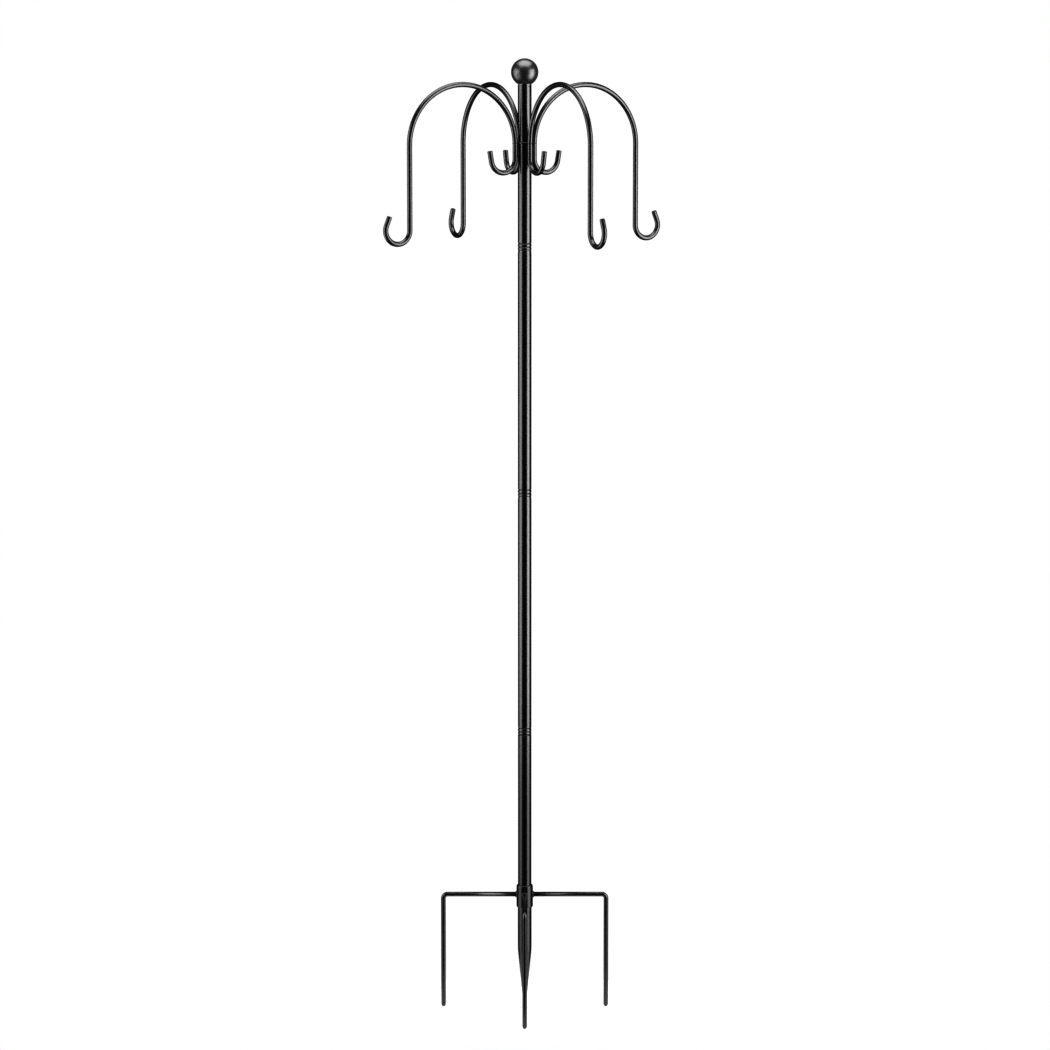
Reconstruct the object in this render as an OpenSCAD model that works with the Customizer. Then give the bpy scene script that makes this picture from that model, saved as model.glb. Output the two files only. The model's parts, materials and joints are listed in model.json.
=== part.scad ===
// Garden hanging station: a sectional tube pole with a ball finial, four bent-rod arms that
// each carry a large and a small hook, and a base with a ground spike and four prongs.
// Z is up. The origin is on the pole's axis at the ground line, just under the base collar.

/* [Pole tubes] */
// Outside diameter of the pole tubes
pole_d = 25.4; // [20:0.1:32]
// Wall of the pole tubes
pole_wall = 1.2; // [0.9:0.1:1.6]
// Height of the base tube's mouth above the ground line
base_height = 340; // [200:1:500]
// Length of the lower pole tube
lower_length = 460; // [300:1:600]
// Length of the upper pole tube
upper_length = 466; // [300:1:600]
// Length of the head tube, which carries the arms
head_length = 309; // [250:1:380]

/* [Push-fit joints] */
// Gap between the end faces of two tubes at a seam
seam_gap = 0.3; // [0.2:0.1:0.6]
// Length of a coupler inside each of its two tubes
coupler_reach = 60; // [45:1:80]
// Wall of the coupler tubes
coupler_wall = 1.8; // [1.4:0.1:2.4]
// Clearance on the radius between a coupler and a tube
coupler_play = 0.08; // [0.05:0.01:0.1]
// Depth of the grooves rolled into a tube above a seam
roll_depth = 0.8; // [0.4:0.1:1]
// Width of a rolled groove at the tube's surface
roll_width = 2.6; // [2:0.1:3.2]
// Height of the first rolled groove above the tube's lower end
roll_low = 5.2; // [4.5:0.1:6]
// Height of the second rolled groove above the tube's lower end
roll_high = 12; // [10.5:0.1:14]
// Clearance between a rolled ridge and the coupler's groove
roll_play = 0.25; // [0.15:0.05:0.4]
// Height of the narrowed mouth of the lower and upper tubes
mouth_height = 8; // [3:0.5:12]
// Amount by which a mouth is narrowed on the radius
mouth_taper = 0.5; // [0.1:0.1:0.7]
// Height of the relief round the foot of a tube
foot_height = 1; // [0.5:0.1:2]
// Height of the relief round the foot of the lower tube, above the base
base_foot_height = 2.6; // [1:0.1:3.2]
// Depth of the relief round the foot of a tube
foot_depth = 0.8; // [0.3:0.1:0.8]
// Distance of the marker line below the base tube's mouth
marker_drop = 22; // [15:1:40]
// Depth of the marker line
marker_depth = 0.3; // [0.2:0.1:0.4]

/* [Finial] */
// Diameter of the ball finial
ball_d = 50.8; // [44:0.2:70]
// Diameter of the stud under the ball
stud_d = 6; // [5:0.5:8]
// Depth of the stud in the ball
stud_in_ball = 14; // [8:1:18]
// Depth of the stud in the top insert
stud_in_insert = 15; // [8:1:18]
// Clearance on the radius between the stud and the top insert
stud_play = 0.08; // [0.05:0.01:0.1]
// Length of the insert in the head tube's mouth
insert_length = 22; // [20:1:40]
// Diameter of the pin that locks the insert in the head tube
pin_d = 2.2; // [1.6:0.1:4]
// Distance of the pin below the head tube's mouth
pin_drop = 4.4; // [3:0.1:16]
// Depth of the pin in the insert
pin_depth = 4; // [2:0.5:6]
// Depth of the pin's outer end below the tube's surface
pin_sink = 0.5; // [0.2:0.1:1]
// Angle from the first arm to the pin
pin_turn = 278.6; // [0:0.1:360]

/* [Arms] */
// Diameter of the arm rods
arm_rod_d = 9.6; // [7:0.1:11]
// Distance of an arm's outer leg from the pole's axis
arm_reach = 243; // [200:1:300]
// Height of the arch's spring line above the head tube's lower end
arch_height = 197; // [180:1:210]
// Width of the hub ring, which spaces the arms' legs from the pole
hub_wall = 2.9; // [2:0.1:4]
// Thickness of the hub ring
hub_thickness = 2.4; // [1.6:0.1:6]
// Height of the hub ring above the spring line
hub_rise = 1.2; // [0.8:0.1:4]
// Depth of the large hooks' centres below the spring line
hook_drop = 155.5; // [100:0.5:165]
// Centreline radius of the large hooks
hook_r = 25; // [18:0.5:32]
// Bend of the large hooks, in degrees
hook_sweep = 202; // [180:1:215]
// Length of the straight end of the large hooks
hook_tip = 18; // [8:1:24]
// Depth of the small hooks' centres below the spring line
small_hook_drop = 27; // [20:1:40]
// Centreline radius of the small hooks
small_hook_r = 25.5; // [18:0.5:30]
// Bend of the small hooks, in degrees
small_hook_sweep = 170; // [160:1:200]
// Length of the straight end of the small hooks
small_hook_tip = 20; // [8:1:24]
// Chamfer of the arm rods' cut ends
rod_chamfer = 0.8; // [0.4:0.1:1.6]

/* [Base] */
// Diameter of the prong rods
prong_rod_d = 8.7; // [7:0.1:11]
// Distance of a prong's leg from the pole's axis
prong_reach = 157; // [120:1:200]
// Height of the prongs' bars above the ground line
bar_height = 26.5; // [18:0.5:32]
// Depth of the prongs' tips below the ground line
prong_depth = 196; // [140:1:240]
// Centreline radius of the prongs' elbows
elbow_r = 8.2; // [7:0.1:14]
// Length of the prongs' points
point_length = 6; // [4:0.5:12]
// Diameter of the blunt end of the prongs' points
point_d = 2.4; // [1:0.1:4]
// Angle from the first arm to the first prong
prong_turn = -29.4; // [-45:0.1:45]
// Wall of the base collar
collar_wall = 2.9; // [2:0.1:4]
// Length of the base collar
collar_length = 40.6; // [32:0.1:50]
// Diameter of the ground spike
spike_d = 26.2; // [22:0.1:34]
// Wall of the ground spike
spike_wall = 1.5; // [1.2:0.1:2]
// Length of the spike's straight part below the ground line
spike_straight = 82; // [50:1:110]
// Height over which the spike is necked to the pole's diameter, under the collar
spike_shoulder = 0.5; // [0.3:0.1:2]
// Depth of the spike's tip below the ground line
spike_depth = 199; // [150:1:250]
// Length of the spike's blunt tip
spike_tip_length = 3; // [2:0.5:6]
// Diameter of the spike at the top of its blunt tip
spike_tip_d = 4.2; // [3.5:0.1:6]
// Length of the spike's solid point, above its blunt tip
spike_solid = 12; // [8:1:30]

/* [Welds] */
// Size of the ring weld under the base collar
collar_weld = 2; // [1:0.1:2.5]
// Size of the ring welds above and below the hub ring
hub_weld = 0.6; // [0.4:0.1:0.7]
// Radius of the beads between the arms' legs and the pole
bead_r = 2.2; // [2.1:0.1:3]
// Length of leg left free below an arm's weld bead
bead_margin = 2; // [1:0.5:4]
// Radius of the beads that run round the prongs' bars at the collar
prong_bead_r = 2.4; // [1.6:0.1:3]

/* [Hidden] */
$fn = 96;

arm_count = 4;
prong_count = 4;
coat_black = [0.10, 0.10, 0.11];
bare_steel = [0.62, 0.63, 0.65];
moulded_black = [0.16, 0.16, 0.17];
weld_black = [0.14, 0.14, 0.15];
// Length by which a cutting shape passes the faces that it cuts
overcut = 1;
// A hook's straight end starts this far inside the bend, and is this much thinner on the
// radius, so that it leaves the bend through its end face and the rod is one solid
end_lap = 0.4;
end_step = 0.02;

pole_r = pole_d / 2;
bore_r = pole_r - pole_wall;
coupler_r = bore_r - coupler_play;
lower_z = base_height + seam_gap;
lower_top = lower_z + lower_length;
upper_z = lower_top + seam_gap;
upper_top = upper_z + upper_length;
head_z = upper_top + seam_gap;
head_top = head_z + head_length;

// A rolled groove is an arc through the tube's surface, and the wall bends with it
roll_r = (pow(roll_width / 2, 2) + pow(roll_depth, 2)) / (2 * roll_depth);
roll_axis_r = pole_r + roll_r - roll_depth;
roll_ridge_r = roll_r + pole_wall;
rolls = [roll_low, roll_high];

stud_r = stud_d / 2;
pin_r = pin_d / 2;
pin_z = head_top - pin_drop;
ball_r = ball_d / 2;
// The ball is cut flat where it is as wide as the pole
ball_seat_z = head_top + seam_gap;
ball_z = ball_seat_z + sqrt(pow(ball_r, 2) - pow(pole_r, 2));

arm_rod_r = arm_rod_d / 2;
hub_r = pole_r + hub_wall;
arch_z = head_z + arch_height;
hub_z = arch_z + hub_rise;
inner_leg = hub_r + arm_rod_r;
arch_r = (arm_reach - inner_leg) / 2;
hook_z = arch_z - hook_drop;
small_hook_z = arch_z - small_hook_drop;
// A bead fills the gap between an arm's leg and the pole, below the hub ring
bead_x = pole_r + hub_wall / 2;
bead_z = small_hook_z + bead_margin;
bead_length = arch_z - bead_z;

prong_r = prong_rod_d / 2;
spike_r = spike_d / 2;
collar_r = pole_r + collar_wall;
collar_z = spike_shoulder + collar_weld;
collar_top = collar_z + collar_length;
// The base tube and the spike's neck meet end to end inside the collar
butt_z = collar_z + collar_length / 2;
spike_tip_r = spike_tip_d / 2;
spike_bore_r = spike_r - spike_wall;
neck_bore_r = pole_r - spike_wall;
// The spike's hollow narrows with the taper, so the wall stays even down to the solid point
spike_slope = (spike_r - spike_tip_r) / (spike_depth - spike_tip_length - spike_straight);
spike_hollow_depth = spike_depth - spike_tip_length - spike_solid;
spike_hollow_end_r = spike_bore_r - spike_slope * (spike_hollow_depth - spike_straight);

// ---- Shapes that repeat -------------------------------------------------

// Upright tube from z_low to z_high, with grooves rolled above its lower end, a relief
// round its foot and a narrowed mouth, each given as [height, depth]
module pole_tube(z_low, z_high, grooves, foot, mouth) {
    rotate_extrude() {
        difference() {
            union() {
                polygon([
                    [bore_r, z_low],
                    [pole_r - foot[1], z_low],
                    [pole_r, z_low + foot[0]],
                    [pole_r, z_high - mouth[0]],
                    [pole_r - mouth[1], z_high],
                    [bore_r, z_high]
                ]);
                for (groove = grooves) {
                    intersection() {
                        translate([roll_axis_r, z_low + groove]) circle(r = roll_ridge_r);
                        translate([0, z_low + groove - roll_ridge_r])
                            square([pole_r - pole_wall / 2, 2 * roll_ridge_r]);
                    }
                }
            }
            for (groove = grooves) {
                translate([roll_axis_r, z_low + groove]) circle(r = roll_r);
            }
        }
    }
}

// Tube that joins two pole tubes across the seam above seam_z
module coupler(seam_z) {
    rotate_extrude() {
        difference() {
            translate([coupler_r - coupler_wall, seam_z - coupler_reach])
                square([coupler_wall, 2 * coupler_reach + seam_gap]);
            for (groove = rolls) {
                translate([roll_axis_r, seam_z + seam_gap + groove])
                    circle(r = roll_ridge_r + roll_play);
            }
        }
    }
}

// Straight rod along +Y
module rod(rod_r, length) {
    rotate([-90, 0, 0]) cylinder(r = rod_r, h = length);
}

// Straight rod along +Y whose far end narrows to end_r over end_length
module rod_end(rod_r, length, end_r, end_length) {
    rod(rod_r, length - end_length);
    translate([0, length - end_length, 0])
        rotate([-90, 0, 0]) cylinder(r1 = rod_r, r2 = end_r, h = end_length);
}

// Bend in the XY plane about the origin
module bend(rod_r, bend_r, from, sweep) {
    rotate_extrude(angle = sweep, start = from)
        translate([bend_r, 0]) circle(r = rod_r);
}

// Hook in the XY plane: down from -X, round below the origin and up to a straight end
module hook(bend_r, sweep, tip) {
    bend(arm_rod_r, bend_r, 180, sweep);
    rotate([0, 0, 180 + sweep]) translate([bend_r, -end_lap, 0])
        rod_end(arm_rod_r - end_step, tip + end_lap, arm_rod_r - rod_chamfer, rod_chamfer);
}

// One arm: a single rod bent in the vertical plane at the given angle
module arm(turn) {
    rotate([0, 0, turn]) rotate([90, 0, 0]) union() {
        translate([inner_leg + arch_r, arch_z, 0]) bend(arm_rod_r, arch_r, 0, 180);
        translate([arm_reach, hook_z, 0]) rod(arm_rod_r, hook_drop);
        translate([arm_reach + hook_r, hook_z, 0]) hook(hook_r, hook_sweep, hook_tip);
        translate([inner_leg, small_hook_z, 0]) rod(arm_rod_r, small_hook_drop);
        translate([inner_leg + small_hook_r, small_hook_z, 0])
            hook(small_hook_r, small_hook_sweep, small_hook_tip);
    }
}

// One prong: a bar out from the collar, an elbow and a leg down to a blunt point
module prong(turn) {
    elbow_x = prong_reach - elbow_r;
    leg_top = bar_height - elbow_r;
    rotate([0, 0, turn]) rotate([90, 0, 0]) union() {
        difference() {
            translate([0, bar_height, 0]) rotate([0, 0, -90]) rod(prong_r, elbow_x);
            translate([0, bar_height - prong_rod_d, 0])
                rod(collar_r, 2 * prong_rod_d);
        }
        translate([elbow_x, leg_top, 0]) bend(prong_r, elbow_r, 0, 90);
        translate([prong_reach, leg_top, 0]) rotate([0, 0, 180])
            rod_end(prong_r, leg_top + prong_depth, point_d / 2, point_length);
    }
}

// Fillet ring round the pole axis with its flat side at z, growing up or down
module ring_weld(inner_r, size, z, up) {
    rotate_extrude() {
        intersection() {
            translate([inner_r, z]) circle(r = size);
            translate([inner_r, up ? z : z - size]) square(size);
        }
    }
}

// Bar along the pin's axis, between two distances from the pole's axis
module pin_bar(from, to) {
    translate([0, 0, pin_z]) rotate([0, 0, pin_turn]) rotate([0, 90, 0])
        translate([0, 0, from]) cylinder(r = pin_r, h = to - from);
}

// ---- Base ----------------------------------------------------------------

module base_pole() {
    marker_z = base_height - marker_drop;
    color(coat_black)
    difference() {
        pole_tube(butt_z, base_height, [], [0, 0], [foot_height, foot_depth]);
        rotate_extrude() translate([pole_r, marker_z]) circle(r = marker_depth);
    }
}

module ground_spike() {
    color(coat_black)
    rotate_extrude()
        polygon([
            [0, -spike_depth],
            [spike_tip_r, spike_tip_length - spike_depth],
            [spike_r, -spike_straight],
            [spike_r, 0],
            [pole_r, spike_shoulder],
            [pole_r, butt_z],
            [neck_bore_r, butt_z],
            [neck_bore_r, spike_shoulder],
            [spike_bore_r, 0],
            [spike_bore_r, -spike_straight],
            [spike_hollow_end_r, -spike_hollow_depth],
            [0, -spike_hollow_depth]
        ]);
}

module base_collar() {
    color(coat_black)
    difference() {
        translate([0, 0, collar_z]) cylinder(r = collar_r, h = collar_length);
        translate([0, 0, collar_z - overcut])
            cylinder(r = pole_r, h = collar_length + 2 * overcut);
    }
}

module collar_ring_welds() {
    color(weld_black) {
        ring_weld(pole_r, collar_weld, collar_z, false);
        ring_weld(pole_r, collar_wall, collar_top, true);
    }
}

module prong_welds() {
    color(weld_black)
    for (i = [0 : prong_count - 1])
        rotate([0, 0, prong_turn + i * 360 / prong_count])
            difference() {
                translate([collar_r, 0, bar_height]) rotate([0, 90, 0])
                    rotate_extrude() translate([prong_r, 0]) circle(r = prong_bead_r);
                translate([0, 0, bar_height]) rotate([0, 90, 0])
                    cylinder(r = prong_r, h = prong_reach);
                translate([0, 0, collar_z]) cylinder(r = collar_r, h = collar_length);
            }
}

// ---- Pole sections ---------------------------------------------------------

module base_coupler() {
    color(bare_steel) coupler(base_height);
}

module lower_pole() {
    color(coat_black)
    pole_tube(lower_z, lower_top, rolls, [base_foot_height, foot_depth], [mouth_height, mouth_taper]);
}

module middle_coupler() {
    color(bare_steel) coupler(lower_top);
}

module upper_pole() {
    color(coat_black)
    pole_tube(upper_z, upper_top, rolls, [foot_height, foot_depth], [mouth_height, mouth_taper]);
}

module top_coupler() {
    color(bare_steel) coupler(upper_top);
}

// ---- Head ------------------------------------------------------------------

module head_pole() {
    color(coat_black)
    difference() {
        pole_tube(head_z, head_top, rolls, [foot_height, foot_depth], [0, 0]);
        pin_bar(bore_r - overcut, pole_r + overcut);
    }
}

module arm_hub() {
    color(coat_black)
    difference() {
        translate([0, 0, hub_z]) cylinder(r = hub_r, h = hub_thickness);
        translate([0, 0, hub_z - overcut]) cylinder(r = pole_r, h = hub_thickness + 2 * overcut);
    }
}

module hub_ring_welds() {
    color(weld_black) {
        ring_weld(pole_r, hub_weld, hub_z, false);
        ring_weld(pole_r, hub_weld, hub_z + hub_thickness, true);
    }
}

module arm_welds() {
    color(weld_black)
    for (i = [0 : arm_count - 1])
        rotate([0, 0, i * 360 / arm_count])
            difference() {
                translate([bead_x, 0, bead_z]) cylinder(r = bead_r, h = bead_length);
                translate([0, 0, bead_z - overcut])
                    cylinder(r = pole_r, h = bead_length + 2 * overcut);
                translate([inner_leg, 0, bead_z - overcut])
                    cylinder(r = arm_rod_r, h = bead_length + 2 * overcut);
            }
}

// ---- Finial ------------------------------------------------------------------

module top_insert() {
    color(moulded_black)
    difference() {
        translate([0, 0, head_top - insert_length]) cylinder(r = bore_r, h = insert_length);
        translate([0, 0, head_top - insert_length - overcut])
            cylinder(r = stud_r + stud_play, h = insert_length + 2 * overcut);
        pin_bar(bore_r - pin_depth, bore_r + overcut);
    }
}

module insert_pin() {
    color(coat_black) pin_bar(bore_r - pin_depth, pole_r - pin_sink);
}

module finial_stud() {
    color(bare_steel)
    translate([0, 0, ball_seat_z - stud_in_insert])
        cylinder(r = stud_r, h = stud_in_insert + stud_in_ball);
}

module ball_finial() {
    color(coat_black)
    difference() {
        translate([0, 0, ball_z]) sphere(r = ball_r);
        translate([0, 0, ball_seat_z - ball_d]) cylinder(r = ball_r, h = ball_d);
        translate([0, 0, ball_seat_z - overcut])
            cylinder(r = stud_r, h = stud_in_ball + overcut);
    }
}

base_pole();
ground_spike();
base_collar();
collar_ring_welds();
prong_welds();
color(coat_black) prong(prong_turn);  // prong_1
color(coat_black) prong(prong_turn + 90);  // prong_2
color(coat_black) prong(prong_turn + 180);  // prong_3
color(coat_black) prong(prong_turn + 270);  // prong_4
base_coupler();
lower_pole();
middle_coupler();
upper_pole();
top_coupler();
head_pole();
arm_hub();
hub_ring_welds();
arm_welds();
color(coat_black) arm(0);  // arm_1
color(coat_black) arm(90);  // arm_2
color(coat_black) arm(180);  // arm_3
color(coat_black) arm(270);  // arm_4
top_insert();
insert_pin();
finial_stud();
ball_finial();
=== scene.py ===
"""Garden hanging station: detailed pieces, materials, floor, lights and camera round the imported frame.

Lengths are in metres and angles in degrees. Z is up, the origin is on the pole's axis at the
ground line, and the arms lie along +X, +Y, -X and -Y. Places and outer sizes are read from the
frame's nodes; the values below are those that a node's box doesn't give.
"""
import bpy
import json
import math
from mathutils import Matrix, Vector

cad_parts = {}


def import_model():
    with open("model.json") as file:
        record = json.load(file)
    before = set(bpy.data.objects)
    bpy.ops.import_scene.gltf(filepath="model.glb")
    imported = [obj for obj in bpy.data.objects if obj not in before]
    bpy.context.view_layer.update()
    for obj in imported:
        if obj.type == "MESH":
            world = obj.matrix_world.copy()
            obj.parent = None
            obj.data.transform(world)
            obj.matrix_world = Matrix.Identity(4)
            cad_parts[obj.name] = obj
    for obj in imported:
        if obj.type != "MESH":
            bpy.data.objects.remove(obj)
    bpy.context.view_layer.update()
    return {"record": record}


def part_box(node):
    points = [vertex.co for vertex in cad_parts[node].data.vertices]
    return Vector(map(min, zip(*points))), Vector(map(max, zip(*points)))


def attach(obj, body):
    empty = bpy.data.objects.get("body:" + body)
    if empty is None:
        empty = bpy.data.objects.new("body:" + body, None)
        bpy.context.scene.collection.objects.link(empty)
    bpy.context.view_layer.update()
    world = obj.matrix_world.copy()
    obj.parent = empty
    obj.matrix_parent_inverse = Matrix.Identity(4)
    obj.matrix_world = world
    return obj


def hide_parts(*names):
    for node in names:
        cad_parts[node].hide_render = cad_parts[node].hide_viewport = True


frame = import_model()

# ---- Sizes that the frame's boxes don't give -------------------------------------------------
TUBE_WALL = 0.0012
TUBE_EDGE = 0.0003                # break of a tube's inner top edge
ROLL_HEIGHTS = (0.0052, 0.0120)   # rolled grooves, above a tube's foot
ROLL_DEPTH = 0.0008
ROLL_SPREAD = 0.0036
FOOT_HEIGHT = 0.0010              # eased lower end of a tube
BASE_FOOT_HEIGHT = 0.0026         # the same on the lower tube, which stands on the base tube
FOOT_DEPTH = 0.0008
MOUTH_HEIGHT = 0.0080             # narrowed upper end of a tube
MOUTH_TAPER = 0.0005
MARKER_DROP = 0.0220              # shallow ring on the base tube, below its top
MARKER_DEPTH = 0.0003
MARKER_SPREAD = 4 * MARKER_DEPTH
COUPLER_WALL = 0.0018
COUPLER_BEVEL = 0.0005
NECK_DEPTH = ROLL_DEPTH * 1.2     # a coupler's necks clear the tube's rolled ridges
NECK_SPREAD = ROLL_SPREAD * 1.3
HOOK_R = 0.0250
HOOK_SWEEP = 202.0
HOOK_TIP = 0.0180                 # straight end after a hook's bend
SMALL_HOOK_R = 0.0255
SMALL_HOOK_SWEEP = 170.0
SMALL_HOOK_TIP = 0.0200
SMALL_HOOK_DROP = 0.0270          # centre of the small hook's bend, below the arch's centre
ARM_ANGLES = (0.0, 90.0, 180.0, 270.0)
ROD_CAP = (0.0016, 0.62)          # length and blunt share of an arm's rounded ends
HUB_EDGE = 0.0006
COLLAR_EDGE = 0.0012
PRONG_TURN = -29.4                # first prong, from the first arm
PRONG_POINT = (0.0062, 0.0)       # length and blunt share of a prong's point
ELBOW_R = 0.0082
SPIKE_STRAIGHT = 0.0820
SPIKE_WALL = 0.0015
SPIKE_SHOULDER = 0.0005           # height of the step from the pole's radius to the spike's
SPIKE_SOLID = 0.0120              # solid metal between the hollow and the rounded tip
SPIKE_TIP_R = 0.0021
SPIKE_TIP_LENGTH = 0.0030
SPIKE_EASE = 0.0100               # half the length of the bend from straight to taper
STUD_R = 0.0030
STUD_PITCH = 0.0010
STUD_THREAD = 0.0003
STUD_PLAY = 0.00008
INSERT_BEVEL = 0.0010
PIN_R = 0.0011
PIN_EDGE = 0.0002
PIN_DEPTH = 0.0040                # how far the pin reaches inside the tube's bore
PIN_SINK = 0.0005                 # how far its head lies under the tube's surface
PIN_DROP = 0.0044                 # below the head tube's top
PIN_TURN = 278.6

# ---- Weld beads ------------------------------------------------------------------------------
WELD_ROOT = 0.0001                # how far a weld starts inside the surface it lies on
BEAD_RIPPLE = 0.14                # how much lower a bead is between two of its scales
RING_RIPPLE = 0.03
ARM_BEAD_R = 0.0022
ARM_BEAD_PITCH = 0.0021
BAND_HALF = 0.0010
BAND_RISE = 0.00045
PRONG_BEAD_R = 0.0023
HUB_SCALES = 34
COLLAR_SCALES = 30
PRONG_SCALES = 14

# ---- Fineness of the meshes ------------------------------------------------------------------
TUBE_SIDES = 96
ROD_SIDES = 40
BEAD_SIDES = 14
PIN_SIDES = 24
STUD_SIDES = 32
FLOOR_SIDES = 128
BEND_STEP = 3.0
SCALE_STEPS = 6
PRONG_SCALE_STEPS = 5
GROOVE_STEPS = 16
MARKER_STEPS = 8
END_STEPS = 10
BAND_STEPS = 12
SPIKE_STEPS = 12
SHARP_ANGLE = 50.0
SUPPORT = 0.0003                  # how close to an edge its supporting ring lies
ON_AXIS = 1e-9                    # a ring this small is one point

# Where the stations of a rod's rounded end lie, from its tip at 0 to the full rod at 1.
CAP_SHARES = [1 - math.cos(math.radians(a)) for a in (0, 15, 30, 45, 60, 75, 90)]


def low(node, axis):
    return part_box(node)[0][axis]


def high(node, axis):
    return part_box(node)[1][axis]


def mount(name):
    """The record's mount of that name."""
    return next(m for m in frame["record"]["mounts"] if m["name"] == name)


POLE_R = high("lower_pole", 0)
BORE_R = POLE_R - TUBE_WALL
COLLAR_R = high("base_collar", 0)
HUB_R = high("arm_hub", 0)
SPIKE_R = high("ground_spike", 0)
SLEEVE_BORE_R = POLE_R - TUBE_WALL / 4   # the hub ring and the collar bite into the tube's wall
ARM_ROD_R = high("arm_1", 1)
PRONG_ROD_R = mount("prong_leg_1")["dims"]["r_mm"] / 1000
PRONG_REACH = math.hypot(*mount("prong_leg_1")["pos_m"][:2])
PRONG_BAR_Z = high("prong_1", 2) - PRONG_ROD_R
PRONG_TIP_Z = low("prong_1", 2)


# ---- Mesh building ---------------------------------------------------------------------------
def new_piece(name, verts, faces, material):
    mesh = bpy.data.meshes.new(name)
    mesh.from_pydata(verts, [], faces)
    mesh.validate()
    mesh.update()
    mesh.shade_smooth()
    mesh.materials.append(material)
    obj = bpy.data.objects.new(name, mesh)
    bpy.context.scene.collection.objects.link(obj)
    return obj


def with_supports(outline):
    """The closed outline with a point close to each end of its long stretches, for clean shading."""
    points = []
    for here, there in zip(outline, outline[1:] + outline[:1]):
        points.append(here)
        dr, dz = there[0] - here[0], there[1] - here[1]
        length = math.hypot(dr, dz)
        if length > 4 * SUPPORT:
            near = SUPPORT / length
            for share in (near, 1 - near):
                points.append((here[0] + dr * share, here[1] + dz * share))
    return points


def faces_between(pairs, sides, flipped=False):
    """Faces between pairs of rings. Where a ring is one point, they are triangles."""
    faces = []
    for a, b in pairs:
        for k in range(sides):
            n = (k + 1) % sides
            corners = [a[k], b[k], b[n], a[n]] if flipped else [a[k], a[n], b[n], b[k]]
            loop = [c for i, c in enumerate(corners) if c != corners[i - 1]]
            if len(loop) > 2:
                faces.append(loop)
    return faces


def lathe(name, outline, material, sides=TUBE_SIDES, ripple=None):
    """A solid of revolution about Z. outline is a closed loop of (radius, z), outside going up.

    ripple(angle) scales the outline about its first point, which gives a ring weld its scales.
    """
    points = with_supports(outline)
    verts, rings = [], []
    for radius, z in points:
        if radius <= ON_AXIS:
            rings.append([len(verts)] * sides)
            verts.append((0.0, 0.0, z))
            continue
        rings.append(list(range(len(verts), len(verts) + sides)))
        for k in range(sides):
            angle = 2 * math.pi * k / sides
            scale = ripple(angle) if ripple else 1.0
            r = points[0][0] + (radius - points[0][0]) * scale
            h = points[0][1] + (z - points[0][1]) * scale
            verts.append((r * math.cos(angle), r * math.sin(angle), h))
    pairs = zip(rings, rings[1:] + rings[:1])
    return new_piece(name, verts, faces_between(pairs, sides), material)


def sweep(name, stations, material, sides=ROD_SIDES, closed=False):
    """A round bar along stations of (centre, side vector, up vector, radius)."""
    verts, rings = [], []
    for centre, side, up, radius in stations:
        if radius <= ON_AXIS:
            rings.append([len(verts)] * sides)
            verts.append(tuple(centre))
            continue
        rings.append(list(range(len(verts), len(verts) + sides)))
        for k in range(sides):
            angle = 2 * math.pi * k / sides
            verts.append(tuple(centre + radius * (math.cos(angle) * side + math.sin(angle) * up)))
    pairs = list(zip(rings, rings[1:]))
    if closed:
        pairs.append((rings[-1], rings[0]))
    return new_piece(name, verts, faces_between(pairs, sides, flipped=True), material)


def arc(centre, radius, start, end, step=BEND_STEP):
    """Points (x, z) along an arc, both ends included, angles in degrees."""
    count = max(2, math.ceil(abs(end - start) / step))
    points = []
    for i in range(count + 1):
        angle = math.radians(start + (end - start) * i / count)
        points.append((centre[0] + radius * math.cos(angle), centre[1] + radius * math.sin(angle)))
    return points


def rod_stations(path, turn, radius, start_cap, end_cap):
    """Stations along path, a list of (x, z) in the upright plane at the angle turn.

    start_cap and end_cap are (length, blunt share): the rod's end narrows over that length like
    an ellipse, down to the blunt share of its radius. None leaves an end that another piece hides.
    """
    turn = math.radians(turn)
    outward = Vector((math.cos(turn), math.sin(turn), 0.0))
    across = Vector((-math.sin(turn), math.cos(turn), 0.0))
    upright = Vector((0.0, 0.0, 1.0))
    points = [Vector(p) for p in path]
    lengths = [0.0]
    for a, b in zip(points, points[1:]):
        lengths.append(lengths[-1] + (b - a).length)
    total = lengths[-1]

    def at(s):
        for i in range(len(points) - 1):
            if s <= lengths[i + 1] or i == len(points) - 2:
                span = lengths[i + 1] - lengths[i]
                return points[i] + (points[i + 1] - points[i]) * ((s - lengths[i]) / span)

    def tangent(i):
        before = points[max(i - 1, 0)]
        after = points[min(i + 1, len(points) - 1)]
        return (after - before).normalized()

    def station(p, t, r):
        centre = outward * p.x + upright * p.y
        return (centre, across, outward * -t.y + upright * t.x, r)

    def narrowed(cap, share):
        return radius * (cap[1] + (1 - cap[1]) * math.sqrt(1 - (1 - share) ** 2))

    first = start_cap[0] if start_cap else 0.0
    last = end_cap[0] if end_cap else 0.0
    result = []
    if start_cap:
        result += [station(at(0.0), tangent(0), 0.0)]
        for share in CAP_SHARES:
            result.append(station(at(first * share), tangent(0), narrowed(start_cap, share)))
        result.append(station(at(first + SUPPORT), tangent(0), radius))
    else:
        result += [station(points[0], tangent(0), 0.0), station(points[0], tangent(0), radius)]
    for i in range(1, len(points) - 1):
        if first + SUPPORT < lengths[i] < total - last - SUPPORT:
            result.append(station(points[i], tangent(i), radius))
    end = tangent(len(points) - 1)
    if end_cap:
        result.append(station(at(total - last - SUPPORT), end, radius))
        for share in reversed(CAP_SHARES):
            result.append(station(at(total - last * share), end, narrowed(end_cap, share)))
        result.append(station(at(total), end, 0.0))
    else:
        result += [station(points[-1], end, radius), station(points[-1], end, 0.0)]
    return result


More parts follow.
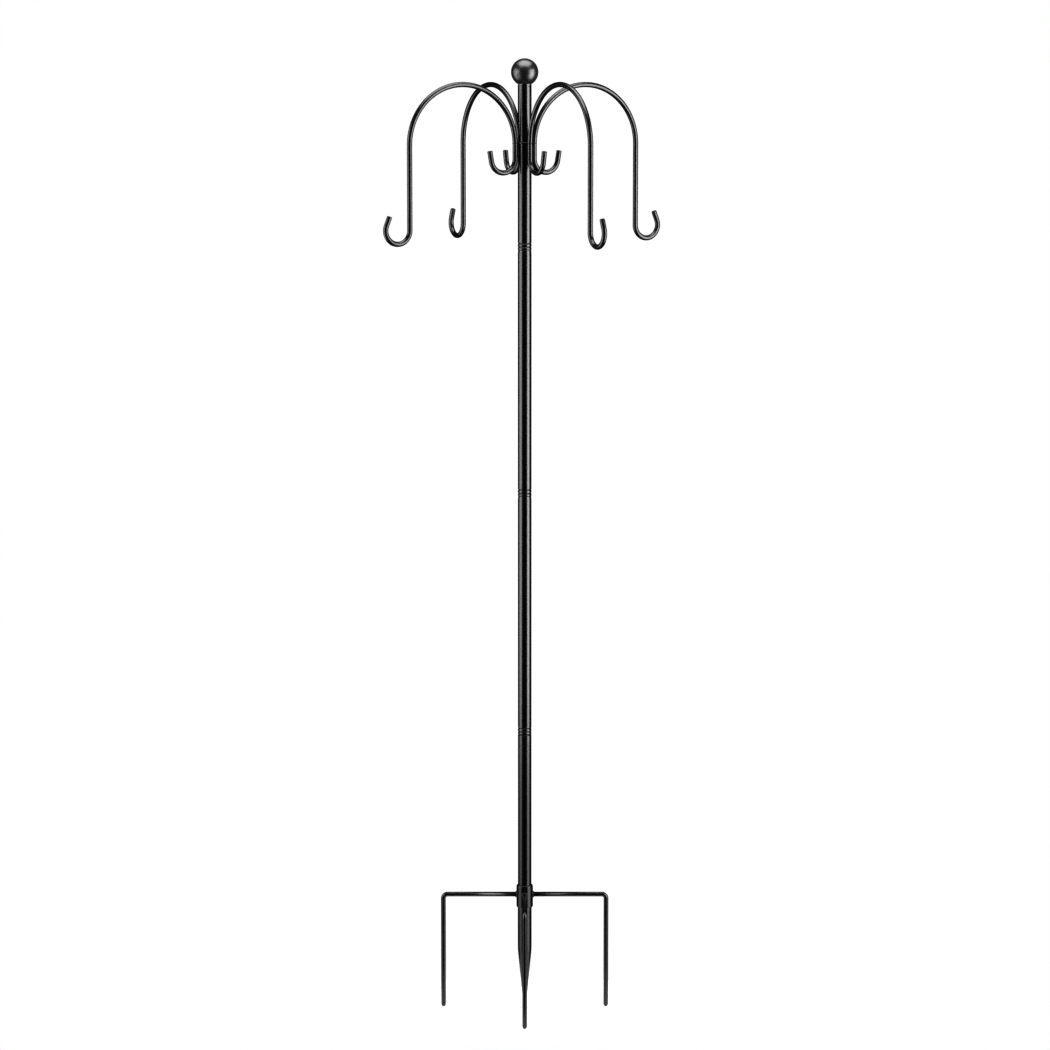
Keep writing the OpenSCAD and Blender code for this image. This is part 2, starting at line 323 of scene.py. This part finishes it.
# ---- Materials -------------------------------------------------------------------------------
CLOUD_SPAN = (0.35, 0.65)         # where most of a soft noise's values lie
GLOSS_SPAN = (0.30, 0.70)
DUST_SPAN = (0.68, 0.74)          # only the rare peaks of a noise
FULL_SPAN = (0.0, 1.0)
COARSE_BUMP = 0.00010
FINE_BUMP = 0.00003


def new_material(name):
    material = bpy.data.materials.new(name)
    material.use_nodes = True
    nodes = material.node_tree.nodes
    return material, nodes, material.node_tree.links, nodes["Principled BSDF"]


def noise(nodes, links, scale, detail=3.0, roughness=0.5, stretch=(1.0, 1.0, 1.0)):
    """Noise in the piece's own metres: scale is in cycles per metre."""
    place = nodes.new("ShaderNodeTexCoord")
    shape = nodes.new("ShaderNodeMapping")
    shape.inputs["Scale"].default_value = stretch
    texture = nodes.new("ShaderNodeTexNoise")
    texture.inputs["Scale"].default_value = scale
    texture.inputs["Detail"].default_value = detail
    texture.inputs["Roughness"].default_value = roughness
    links.new(place.outputs["Object"], shape.inputs["Vector"])
    links.new(shape.outputs["Vector"], texture.inputs["Vector"])
    return texture.outputs["Fac"]


def remap(nodes, links, value, span, target):
    """The value moved from one (low, high) to another, and held at the ends."""
    node = nodes.new("ShaderNodeMapRange")
    for key, number in zip(("From Min", "From Max", "To Min", "To Max"), (*span, *target)):
        node.inputs[key].default_value = number
    links.new(value, node.inputs["Value"])
    return node.outputs["Result"]


def blend_colours(nodes, links, value, dark, light):
    node = nodes.new("ShaderNodeMix")
    node.data_type = "RGBA"
    node.inputs["A"].default_value = (*dark, 1.0)
    node.inputs["B"].default_value = (*light, 1.0)
    links.new(value, node.inputs["Factor"])
    return node.outputs["Result"]


def add_bumps(nodes, links, shader, layers):
    """Bumps of (height, strength, distance) one on top of another."""
    last = None
    for height, strength, distance in layers:
        bump = nodes.new("ShaderNodeBump")
        bump.inputs["Strength"].default_value = strength
        bump.inputs["Distance"].default_value = distance
        links.new(height, bump.inputs["Height"])
        if last:
            links.new(last.outputs["Normal"], bump.inputs["Normal"])
        last = bump
    links.new(last.outputs["Normal"], shader.inputs["Normal"])


def powder_coat(name, dark, light, smooth, rough, peel, specular, index=1.65):
    """Black powder coat: fine orange peel, cloudy gloss and faint dust in the film.

    dark and light are the ends of its colour, smooth and rough those of its roughness, and peel
    is the strength of its orange peel.
    """
    material, nodes, links, shader = new_material(name)
    cloud = noise(nodes, links, 45.0, detail=4.0)
    dust = noise(nodes, links, 1400.0, detail=1.0)
    gloss = noise(nodes, links, 120.0, detail=5.0, roughness=0.6)
    grain = noise(nodes, links, 620.0, detail=2.0)
    fine = noise(nodes, links, 2600.0, detail=2.0)
    tone = remap(nodes, links, cloud, CLOUD_SPAN, (0.0, 0.8))
    speck = remap(nodes, links, dust, DUST_SPAN, (0.0, 0.5))
    mixed = nodes.new("ShaderNodeMath")
    mixed.operation = "ADD"
    mixed.use_clamp = True
    links.new(tone, mixed.inputs[0])
    links.new(speck, mixed.inputs[1])
    colour = blend_colours(nodes, links, mixed.outputs["Value"], dark, light)
    links.new(colour, shader.inputs["Base Color"])
    links.new(remap(nodes, links, gloss, GLOSS_SPAN, (smooth, rough)), shader.inputs["Roughness"])
    shader.inputs["Specular IOR Level"].default_value = specular
    shader.inputs["IOR"].default_value = index
    add_bumps(nodes, links, shader, ((grain, peel, COARSE_BUMP), (fine, peel * 0.6, FINE_BUMP)))
    return material


def zinc_plate(name):
    """Dull zinc plate with turning lines round the tube and a cloudy passivation tint."""
    material, nodes, links, shader = new_material(name)
    cloud = noise(nodes, links, 90.0, detail=4.0)
    lines = noise(nodes, links, 260.0, detail=3.0, stretch=(1.0, 1.0, 14.0))
    tone = remap(nodes, links, cloud, CLOUD_SPAN, FULL_SPAN)
    colour = blend_colours(nodes, links, tone, (0.20, 0.205, 0.22), (0.28, 0.28, 0.275))
    links.new(colour, shader.inputs["Base Color"])
    shader.inputs["Metallic"].default_value = 1.0
    links.new(remap(nodes, links, lines, GLOSS_SPAN, (0.42, 0.56)), shader.inputs["Roughness"])
    add_bumps(nodes, links, shader, ((lines, 0.25, FINE_BUMP),))
    return material


def nylon(name):
    """Moulded black nylon with a fine matt grain."""
    material, nodes, links, shader = new_material(name)
    cloud = noise(nodes, links, 200.0, detail=3.0)
    grain = noise(nodes, links, 3000.0, detail=2.0)
    tone = remap(nodes, links, cloud, CLOUD_SPAN, FULL_SPAN)
    colour = blend_colours(nodes, links, tone, (0.012, 0.012, 0.013), (0.022, 0.022, 0.024))
    links.new(colour, shader.inputs["Base Color"])
    links.new(remap(nodes, links, grain, GLOSS_SPAN, (0.5, 0.65)), shader.inputs["Roughness"])
    add_bumps(nodes, links, shader, ((grain, 0.3, FINE_BUMP),))
    return material


BLACK_DARK, BLACK_LIGHT = (0.0036, 0.0036, 0.0039), (0.0078, 0.0078, 0.0081)
COAT = powder_coat("black_coat", BLACK_DARK, BLACK_LIGHT,
                   smooth=0.20, rough=0.28, peel=0.012, specular=1.0)
ROD_COAT = powder_coat("black_coat_rods", BLACK_DARK, BLACK_LIGHT,
                       smooth=0.26, rough=0.34, peel=0.010, specular=1.0)
WELD = powder_coat("coated_weld", (0.0042, 0.0042, 0.0045), (0.0090, 0.0090, 0.0096),
                   smooth=0.30, rough=0.40, peel=0.030, specular=0.70)
BALL = powder_coat("finial_coat", (0.024, 0.024, 0.025), (0.039, 0.039, 0.040),
                   smooth=0.32, rough=0.39, peel=0.020, specular=1.0, index=1.75)
ZINC = zinc_plate("zinc_steel")
NYLON = nylon("black_nylon")


def place(piece, body, slot, *nodes):
    """The piece rides on the body and stands for those CAD nodes, which it hides. slot is not used."""
    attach(piece, body)
    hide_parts(*nodes)


# ---- Pole tubes ------------------------------------------------------------------------------
def smooth_dip(z, centre, spread):
    """1 at the middle of a rolled groove and 0 from half its spread outwards."""
    off = abs(z - centre) / (spread / 2)
    return math.cos(math.pi / 2 * off) ** 2 if off < 1 else 0.0


def levels_over(centre, spread, count):
    """Evenly spaced levels over the spread round the centre, both ends included."""
    return [centre + spread * (i / count - 0.5) for i in range(count + 1)]


def tube_outline(bottom, top, rolls, foot, mouth, marker=None):
    """Closed outline of a tube: grooves bend the whole wall, the rest only shapes the outside.

    foot and mouth are (height, depth), and marker is the height of a shallow ring.
    """
    def wall_dip(z):
        return sum(ROLL_DEPTH * smooth_dip(z, bottom + roll, ROLL_SPREAD) for roll in rolls)

    def outside(z):
        r = POLE_R - wall_dip(z)
        if foot and z < bottom + foot[0]:
            share = 1 - (z - bottom) / foot[0]
            r -= foot[1] * (1 - math.sqrt(max(0.0, 1 - share ** 2)))
        if mouth and z > top - mouth[0]:
            share = (z - top + mouth[0]) / mouth[0]
            r -= mouth[1] * share ** 2 * (3 - 2 * share)
        if marker:
            r -= MARKER_DEPTH * smooth_dip(z, marker, MARKER_SPREAD)
        return r

    levels = {bottom, top}
    for roll in rolls:
        levels.update(levels_over(bottom + roll, ROLL_SPREAD, GROOVE_STEPS))
    if foot:
        levels.update(bottom + foot[0] * (1 - math.cos(math.radians(90 * i / END_STEPS)))
                      for i in range(END_STEPS + 1))
    if mouth:
        levels.update(top - mouth[0] * i / END_STEPS for i in range(END_STEPS + 1))
    if marker:
        levels.update(levels_over(marker, MARKER_SPREAD, MARKER_STEPS))
    if not mouth:
        # Rings above and below the pin's hole, which keep the cut clear of the long faces.
        levels.update(top - PIN_DROP + PIN_R * 1.5 * side for side in (-1, 1))
    levels = sorted(levels)
    outer = [(outside(z), z) for z in levels]
    inner = [(BORE_R - wall_dip(z), z) for z in reversed(levels)]
    inner[0] = (BORE_R, top - TUBE_EDGE)
    inner.insert(0, (BORE_R + TUBE_EDGE, top))
    return outer + inner


def pole_tubes():
    """The head, upper, lower and base tubes."""
    short_ease = (FOOT_HEIGHT, FOOT_DEPTH)
    mouth = (MOUTH_HEIGHT, MOUTH_TAPER)
    tubes = (
        ("head_pole", "head", ROLL_HEIGHTS, short_ease, None),
        ("upper_pole", "upper_section", ROLL_HEIGHTS, short_ease, mouth),
        ("lower_pole", "lower_section", ROLL_HEIGHTS, (BASE_FOOT_HEIGHT, FOOT_DEPTH), mouth),
    )
    for node, body, rolls, foot, lip in tubes:
        outline = tube_outline(low(node, 2), high(node, 2), rolls, foot, lip)
        place(lathe(node + "_tube", outline, COAT), body, "black_coat", node)
    top = high("base_pole", 2)
    outline = tube_outline(low("base_pole", 2), top, (), None, short_ease, top - MARKER_DROP)
    place(lathe("base_pole_tube", outline, COAT), "base", "black_coat", "base_pole")


def couplers():
    """Zinc-plated tubes across the three joints, necked where the rolled ridges run.

    Each coupler is a body of its own, with the node's name.
    """
    tubes_above = (
        ("base_coupler", "lower_pole"),
        ("middle_coupler", "upper_pole"),
        ("top_coupler", "head_pole"),
    )
    for node, tube in tubes_above:
        radius, bottom, top = high(node, 0), low(node, 2), high(node, 2)
        outer = [(radius - COUPLER_BEVEL, bottom), (radius, bottom + COUPLER_BEVEL)]
        for roll in ROLL_HEIGHTS:
            groove = low(tube, 2) + roll
            for z in levels_over(groove, NECK_SPREAD, GROOVE_STEPS):
                outer.append((radius - NECK_DEPTH * smooth_dip(z, groove, NECK_SPREAD), z))
        outer += [(radius, top - COUPLER_BEVEL), (radius - COUPLER_BEVEL, top)]
        inner = [(radius - COUPLER_WALL, top), (radius - COUPLER_WALL, bottom)]
        place(lathe(node + "_tube", outer + inner, ZINC), node, "zinc_steel", node)


# ---- Arms ------------------------------------------------------------------------------------
def arm_path():
    """(x, z) along an arm's rod: up from the small hook, over the arch, round the large hook."""
    outer_x = high("arm_1", 0) - ARM_ROD_R - 2 * HOOK_R
    inner_x = HUB_R + ARM_ROD_R
    arch_r = (outer_x - inner_x) / 2
    arch_z = high("arm_1", 2) - ARM_ROD_R - arch_r
    hook_z = low("arm_1", 2) + ARM_ROD_R + HOOK_R
    small_z = arch_z - SMALL_HOOK_DROP
    small_end = 180.0 + SMALL_HOOK_SWEEP
    hook_end = 180.0 + HOOK_SWEEP
    small_arc = arc((inner_x + SMALL_HOOK_R, small_z), SMALL_HOOK_R, small_end, 180.0)
    hook_arc = arc((outer_x + HOOK_R, hook_z), HOOK_R, 180.0, hook_end)
    path = [straight_on(small_arc[0], small_end, SMALL_HOOK_TIP)]
    path += small_arc
    path += arc((inner_x + arch_r, arch_z), arch_r, 180.0, 0.0)
    path += hook_arc
    path.append(straight_on(hook_arc[-1], hook_end, HOOK_TIP))
    return path


def straight_on(point, angle, length):
    """The end of a straight stretch that goes on from a bend at that angle round its centre."""
    angle = math.radians(angle)
    return (point[0] - length * math.sin(angle), point[1] + length * math.cos(angle))


def arms():
    """Four bent rods, each with a small and a large hook."""
    for number, turn in enumerate(ARM_ANGLES, 1):
        stations = rod_stations(arm_path(), turn, ARM_ROD_R, ROD_CAP, ROD_CAP)
        rod = sweep("arm_rod_%d" % number, stations, ROD_COAT)
        place(rod, "head", "black_coat", "arm_%d" % number)


def turned(point, turn):
    """The point after a turn about Z by that many degrees."""
    turn = math.radians(turn)
    c, s = math.cos(turn), math.sin(turn)
    return Vector((point[0] * c - point[1] * s, point[0] * s + point[1] * c, point[2]))


def weld_scales(phase, ripple):
    """1 at the middle of a weld's scale, and less by the ripple between two scales."""
    return 1 - ripple + ripple * abs(math.cos(phase))


def rib(foot, height, turn, radius, pitch):
    """An upright weld bead with a scale every pitch, rounded at both ends."""
    stations = []
    count = int(height / pitch) * SCALE_STEPS
    side, up = turned((1, 0, 0), turn), turned((0, 1, 0), turn)
    for i in range(count + 1):
        share = i / count
        swell = math.sqrt(max(0.0, 1 - abs(2 * share - 1) ** 8))
        scale = weld_scales(math.pi * share * height / pitch, BEAD_RIPPLE)
        centre = turned((foot[0], foot[1], foot[2] + height * share), turn)
        stations.append((centre, side, up, radius * swell * scale))
    return sweep("bead", stations, WELD, BEAD_SIDES)


def seam_band(middle, turn, radius):
    """A low weld band round an arm's leg at the hub ring."""
    side, up = turned((1, 0, 0), turn), turned((0, 1, 0), turn)
    stations = []
    for i in range(BAND_STEPS + 1):
        share = 2 * i / BAND_STEPS - 1
        centre = turned((middle[0], middle[1], middle[2] + BAND_HALF * share), turn)
        stations.append((centre, side, up, radius - WELD_ROOT + BAND_RISE * (1 - share ** 2)))
    return sweep("band", stations, WELD)


def join(name, parts):
    """One piece made of several meshes."""
    verts, faces = [], []
    for part in parts:
        start = len(verts)
        verts += [tuple(v.co) for v in part.data.vertices]
        faces += [[start + i for i in face.vertices] for face in part.data.polygons]
        mesh = part.data
        bpy.data.objects.remove(part)
        bpy.data.meshes.remove(mesh)
    return new_piece(name, verts, faces, WELD)


def arm_welds():
    """A bead between each arm's leg and the pole, and a low band round the leg at the hub ring."""
    bottom = low("arm_welds", 2)
    height = high("arm_welds", 2) - bottom
    ring_z = (low("arm_hub", 2) + high("arm_hub", 2)) / 2
    parts = []
    for turn in ARM_ANGLES:
        foot = ((POLE_R + HUB_R) / 2, 0.0, bottom)
        parts.append(rib(foot, height, turn, ARM_BEAD_R, ARM_BEAD_PITCH))
        parts.append(seam_band((HUB_R + ARM_ROD_R, 0.0, ring_z), turn, ARM_ROD_R))
    place(join("arm_weld_beads", parts), "head", "coated_weld", "arm_welds")


# ---- Sleeves and ring welds ------------------------------------------------------------------
def sleeve(name, node, body, outer, edge):
    """A ring on the pole with rounded outer edges."""
    bottom, top = low(node, 2), high(node, 2)
    outline = (
        [(SLEEVE_BORE_R, bottom), (outer - edge, bottom)]
        + arc((outer - edge, bottom + edge), edge, -90.0, 0.0, 15.0)[1:]
        + arc((outer - edge, top - edge), edge, 0.0, 90.0, 15.0)
        + [(SLEEVE_BORE_R, top)]
    )
    place(lathe(name, outline, COAT), body, "black_coat", node)


def ring_weld(size, z, up, scales):
    """A rounded fillet on the pole above or below z, with weld scales round it."""
    corner = (POLE_R - WELD_ROOT, z)
    start, end = (0.0, 90.0) if up else (-90.0, 0.0)

    def ripple(angle):
        return weld_scales(angle * scales / 2, RING_RIPPLE)

    outline = [corner] + arc(corner, size, start, end, 9.0)
    return lathe("ring", outline, WELD, sides=scales * SCALE_STEPS, ripple=ripple)


def hub():
    """The ring that spaces the arms' legs from the pole, and its welds, which are alike."""
    bottom, top = low("arm_hub", 2), high("arm_hub", 2)
    sleeve("arm_hub_ring", "arm_hub", "head", HUB_R, HUB_EDGE)
    size = high("hub_ring_welds", 2) - top
    rings = [ring_weld(size, top, True, HUB_SCALES), ring_weld(size, bottom, False, HUB_SCALES)]
    place(join("hub_weld_rings", rings), "head", "coated_weld", "hub_ring_welds")


def collar():
    """The sleeve round the base tube's foot and the spike's neck, and its two welds."""
    bottom, top = low("base_collar", 2), high("base_collar", 2)
    sleeve("base_collar_sleeve", "base_collar", "base", COLLAR_R, COLLAR_EDGE)
    above = high("collar_ring_welds", 2) - top
    below = bottom - low("collar_ring_welds", 2)
    rings = [ring_weld(above, top, True, COLLAR_SCALES), ring_weld(below, bottom, False, COLLAR_SCALES)]
    place(join("collar_weld_rings", rings), "base", "coated_weld", "collar_ring_welds")


# ---- Base ------------------------------------------------------------------------------------
def spike():
    """Swaged tube: straight below the collar, eased into a long taper, with a blunt end."""
    top, tip = high("ground_spike", 2), low("ground_spike", 2)
    slope = (SPIKE_R - SPIKE_TIP_R) / (-tip - SPIKE_TIP_LENGTH - SPIKE_STRAIGHT)

    def taper(z):
        below = -SPIKE_STRAIGHT - z
        if below <= -SPIKE_EASE:
            return SPIKE_R
        if below >= SPIKE_EASE:
            return SPIKE_R - slope * below
        return SPIKE_R - slope * (below + SPIKE_EASE) ** 2 / (4 * SPIKE_EASE)

    run = -SPIKE_STRAIGHT - SPIKE_EASE - tip - SPIKE_TIP_LENGTH
    levels = [tip + SPIKE_TIP_LENGTH + run * i / SPIKE_STEPS for i in range(SPIKE_STEPS)]
    for i in range(SPIKE_STEPS + 1):
        levels.append(-SPIKE_STRAIGHT + SPIKE_EASE * (2 * i / SPIKE_STEPS - 1))
    outer = [(0.0, tip)]
    for angle in map(math.radians, (20, 40, 60, 75)):
        outer.append((SPIKE_TIP_R * math.sin(angle), tip + SPIKE_TIP_LENGTH * (1 - math.cos(angle))))
    outer += [(taper(z), z) for z in levels]
    outer += [(SPIKE_R, 0.0), (POLE_R, SPIKE_SHOULDER), (POLE_R, top)]
    neck, bore = POLE_R - SPIKE_WALL, SPIKE_R - SPIKE_WALL
    inner = [(neck, top), (neck, SPIKE_SHOULDER), (bore, 0.0), (bore, -SPIKE_STRAIGHT)]
    hollow_end = tip + SPIKE_TIP_LENGTH + SPIKE_SOLID
    inner.append((taper(hollow_end) - SPIKE_WALL, hollow_end))
    inner.append((0.0, hollow_end))
    place(lathe("ground_spike_tube", outer + inner, COAT), "base", "black_coat", "ground_spike")


def prong_path():
    """(x, z) along a prong, from inside the collar's wall out, round the elbow and down."""
    path = [(COLLAR_R - TUBE_WALL, PRONG_BAR_Z)]
    path += arc((PRONG_REACH - ELBOW_R, PRONG_BAR_Z - ELBOW_R), ELBOW_R, 90.0, 0.0, 6.0)
    path.append((PRONG_REACH, PRONG_TIP_Z))
    return path


def prong_bead(turn):
    """A weld bead round a prong's bar, laid on the collar's round side."""
    stations = []
    count = PRONG_SCALES * PRONG_SCALE_STEPS
    for i in range(count):
        angle = 2 * math.pi * i / count
        y, z = PRONG_ROD_R * math.sin(angle), PRONG_ROD_R * math.cos(angle)
        centre = turned((math.sqrt(COLLAR_R ** 2 - y ** 2), y, PRONG_BAR_Z + z), turn)
        away = turned((0.0, math.sin(angle), math.cos(angle)), turn)
        outward = turned((1.0, 0.0, 0.0), turn)
        scale = weld_scales(angle * PRONG_SCALES / 2, BEAD_RIPPLE)
        stations.append((centre, away, outward, PRONG_BEAD_R * scale))
    return sweep("bead", stations, WELD, BEAD_SIDES, closed=True)


def prongs():
    """Four bent rods welded to the collar, a quarter turn apart."""
    beads = []
    for number, quarter in enumerate(ARM_ANGLES, 1):
        turn = PRONG_TURN + quarter
        stations = rod_stations(prong_path(), turn, PRONG_ROD_R, None, PRONG_POINT)
        rod = sweep("prong_rod_%d" % number, stations, ROD_COAT)
        place(rod, "base", "black_coat", "prong_%d" % number)
        beads.append(prong_bead(turn))
    place(join("prong_weld_beads", beads), "base", "coated_weld", "prong_welds")


# ---- Finial ----------------------------------------------------------------------------------
def ball():
    """The ball, flat where it sits on the pole and with a socket for the stud."""
    seat, top = low("ball_finial", 2), high("ball_finial", 2)
    ball_r = high("ball_finial", 0)
    centre = top - ball_r
    start = math.degrees(math.asin((seat - centre) / ball_r))
    socket = high("finial_stud", 2)
    outline = [(0.0, socket), (STUD_R, socket), (STUD_R, seat)]
    outline += arc((0.0, centre), ball_r, start, 90.0)[:-1] + [(0.0, top)]
    place(lathe("ball_finial_round", outline, BALL), "finial", "finial_coat", "ball_finial")


def stud():
    """The threaded stud under the ball."""
    bottom, top = low("finial_stud", 2), high("finial_stud", 2)
    outline = [(0.0, bottom), (STUD_R - STUD_THREAD * 2, bottom)]
    for i in range(int((top - bottom) / STUD_PITCH) - 1):
        z = bottom + STUD_PITCH * (i + 0.5)
        outline += [(STUD_R - STUD_THREAD, z), (STUD_R, z + STUD_PITCH / 2)]
    outline += [(STUD_R - STUD_THREAD, top), (0.0, top)]
    thread = lathe("finial_stud_thread", outline, ZINC, sides=STUD_SIDES)
    place(thread, "finial", "zinc_steel", "finial_stud")


def insert():
    """The nylon plug in the head tube's mouth that takes the stud."""
    bottom, top = low("top_insert", 2), high("top_insert", 2)
    bore = STUD_R + STUD_PLAY
    outline = [
        (bore, bottom),
        (BORE_R - INSERT_BEVEL, bottom),
        (BORE_R, bottom + INSERT_BEVEL),
        (BORE_R, top),
        (bore, top),
    ]
    place(lathe("top_insert_plug", outline, NYLON), "head", "black_nylon", "top_insert")


def along_pin(piece, start):
    """Turn a piece built about Z to the pin's axis, and move it out to that distance."""
    lay = Matrix.Rotation(math.radians(PIN_TURN), 4, "Z") @ Matrix.Rotation(math.radians(90.0), 4, "Y")
    up = Matrix.Translation((0.0, 0.0, high("head_pole", 2) - PIN_DROP))
    piece.data.transform(up @ lay @ Matrix.Translation((0.0, 0.0, start)))


def insert_pin():
    """The pin that locks the insert, sunk in a hole through the head tube's wall."""
    start, end = BORE_R - PIN_DEPTH, POLE_R - PIN_SINK
    outline = [
        (0.0, 0.0),
        (PIN_R, 0.0),
        (PIN_R, end - start - PIN_EDGE),
        (PIN_R - PIN_EDGE, end - start),
        (0.0, end - start),
    ]
    pin = lathe("insert_lock_pin", outline, COAT, sides=PIN_SIDES)
    along_pin(pin, start)
    place(pin, "head", "black_coat", "insert_pin")
    outline = [(0.0, 0.0), (PIN_R, 0.0), (PIN_R, PIN_DEPTH), (0.0, PIN_DEPTH)]
    cutter = lathe("cutter", outline, COAT, sides=PIN_SIDES)
    along_pin(cutter, BORE_R - PIN_DEPTH / 4)
    drill(bpy.data.objects["head_pole_tube"], cutter)


def drill(piece, cutter):
    """Cut the cutter out of the piece and remove the cutter."""
    cut = piece.modifiers.new("hole", "BOOLEAN")
    cut.operation = "DIFFERENCE"
    cut.object = cutter
    graph = bpy.context.evaluated_depsgraph_get()
    mesh = bpy.data.meshes.new_from_object(piece.evaluated_get(graph))
    piece.modifiers.clear()
    piece.data = mesh
    mesh.set_sharp_from_angle(angle=math.radians(SHARP_ANGLE))
    bpy.data.objects.remove(cutter)


pole_tubes()
couplers()
arms()
arm_welds()
hub()
collar()
spike()
prongs()
ball()
stud()
insert()
insert_pin()

# ---- Floor, lights, world and camera ---------------------------------------------------------
CAMERA_AZIMUTH = -29.4
CAMERA_DISTANCE = 6.281
CAMERA_HEIGHT = 1.574
CAMERA_TILT = 7.52
CAMERA_SIDESTEP = 0.0006
CAMERA_LENS = 114.24
FLOOR_RADIUS = 0.26
FLOOR_DROP = 0.0005               # below the lowest tip
FLOOR_GLOW = 0.38                 # brings the lit floor to the white of the background
WORLD_GLOW = 0.01                 # what the object reflects of the white background
DISPLAY_GAMMA = 0.6               # deepens the blacks and keeps thin dark rods thick on white

# Soft boxes at the sides: (name, angle from the camera, width, watts).
SIDE_BOXES = (("left", -76.0, 1.8, 39.0), ("right", 66.0, 1.5, 51.0))
SIDE_REACH = 1.7
SIDE_HEIGHT = 2.2
LOW_HEIGHT = 0.8
LOW_DIMMING = 0.4
TOP_PLACE = (0.2, 2.7)            # towards the camera, and up
TOP_SIZE = (1.7, 1.4)
TOP_WATTS = 30.0


def floor():
    """A round pale floor under the tips of the spike and prongs."""
    level = min(low("ground_spike", 2), PRONG_TIP_Z) - FLOOR_DROP
    ring = []
    for i in range(FLOOR_SIDES):
        angle = 2 * math.pi * i / FLOOR_SIDES
        ring.append((FLOOR_RADIUS * math.cos(angle), FLOOR_RADIUS * math.sin(angle), level))
    material, _, _, shader = new_material("pale_floor")
    shader.inputs["Base Color"].default_value = (0.80, 0.80, 0.80, 1.0)
    shader.inputs["Roughness"].default_value = 0.9
    shader.inputs["Specular IOR Level"].default_value = 0.1
    shader.inputs["Emission Color"].default_value = (1.0, 1.0, 1.0, 1.0)
    shader.inputs["Emission Strength"].default_value = FLOOR_GLOW
    obj = new_piece("floor", ring, [list(range(FLOOR_SIDES))], material)


def towards_camera(turn):
    """The level direction from the pole to a place turned by that angle from the camera."""
    angle = math.radians(CAMERA_AZIMUTH + turn)
    return Vector((math.sin(angle), -math.cos(angle), 0.0))


def soft_box(name, place_at, aim, width, height, watts):
    """A rectangular area light that shines at aim and that the camera doesn't see."""
    data = bpy.data.lights.new(name, "AREA")
    data.shape = "RECTANGLE"
    data.size = width
    data.size_y = height
    data.energy = watts
    obj = bpy.data.objects.new(name, data)
    obj.location = place_at
    obj.rotation_euler = (aim - place_at).to_track_quat("-Z", "Y").to_euler()
    obj.visible_camera = False
    bpy.context.scene.collection.objects.link(obj)
    return obj


def lights():
    """On each side a tall soft box and a dimmer one under it, and one above the finial.

    They are turned from the camera as the pole's two bright bands ask, and the dimmer ones make
    the bands fade towards the ground.
    """
    for side, turn, width, watts in SIDE_BOXES:
        out = towards_camera(turn) * SIDE_REACH
        spot = out + Vector((0.0, 0.0, SIDE_HEIGHT / 2))
        soft_box(side + "_box", spot, spot - out, width, SIDE_HEIGHT, watts)
        spot = out + Vector((0.0, 0.0, -LOW_HEIGHT / 2))
        low_watts = watts * LOW_DIMMING * LOW_HEIGHT / SIDE_HEIGHT
        soft_box(side + "_low_box", spot, spot - out, width, LOW_HEIGHT, low_watts)
    forward, up = TOP_PLACE
    above = towards_camera(0.0) * forward + Vector((0.0, 0.0, up))
    top = soft_box("top_box", above, above - Vector((0.0, 0.0, 1.0)), *TOP_SIZE, TOP_WATTS)
    top.rotation_euler = (0.0, 0.0, math.radians(CAMERA_AZIMUTH))


def world():
    """White behind the object, and dim in its reflections so that black metal stays black."""
    studio = bpy.data.worlds.new("studio")
    studio.use_nodes = True
    nodes, links = studio.node_tree.nodes, studio.node_tree.links
    dim = nodes["Background"]
    dim.inputs["Color"].default_value = (1.0, 1.0, 1.0, 1.0)
    dim.inputs["Strength"].default_value = WORLD_GLOW
    white = nodes.new("ShaderNodeBackground")
    white.inputs["Color"].default_value = (1.0, 1.0, 1.0, 1.0)
    white.inputs["Strength"].default_value = 1.0
    ray = nodes.new("ShaderNodeLightPath")
    mix = nodes.new("ShaderNodeMixShader")
    links.new(ray.outputs["Is Camera Ray"], mix.inputs["Fac"])
    links.new(dim.outputs["Background"], mix.inputs[1])
    links.new(white.outputs["Background"], mix.inputs[2])
    links.new(mix.outputs["Shader"], nodes["World Output"].inputs["Surface"])
    bpy.context.scene.world = studio
    bpy.context.scene.view_settings.view_transform = "Standard"
    bpy.context.scene.view_settings.gamma = DISPLAY_GAMMA


def camera():
    """The photo's view, from the height of the arches and tilted down."""
    data = bpy.data.cameras.new("camera")
    data.lens = CAMERA_LENS
    data.sensor_width = 36.0
    data.clip_end = 100.0
    obj = bpy.data.objects.new("camera", data)
    level = towards_camera(0.0) * CAMERA_DISTANCE + towards_camera(90.0) * CAMERA_SIDESTEP
    obj.location = level + Vector((0.0, 0.0, CAMERA_HEIGHT))
    obj.rotation_euler = (math.radians(90.0 - CAMERA_TILT), 0.0, math.radians(CAMERA_AZIMUTH))
    bpy.context.scene.collection.objects.link(obj)
    bpy.context.scene.camera = obj


floor()
lights()
world()
camera()
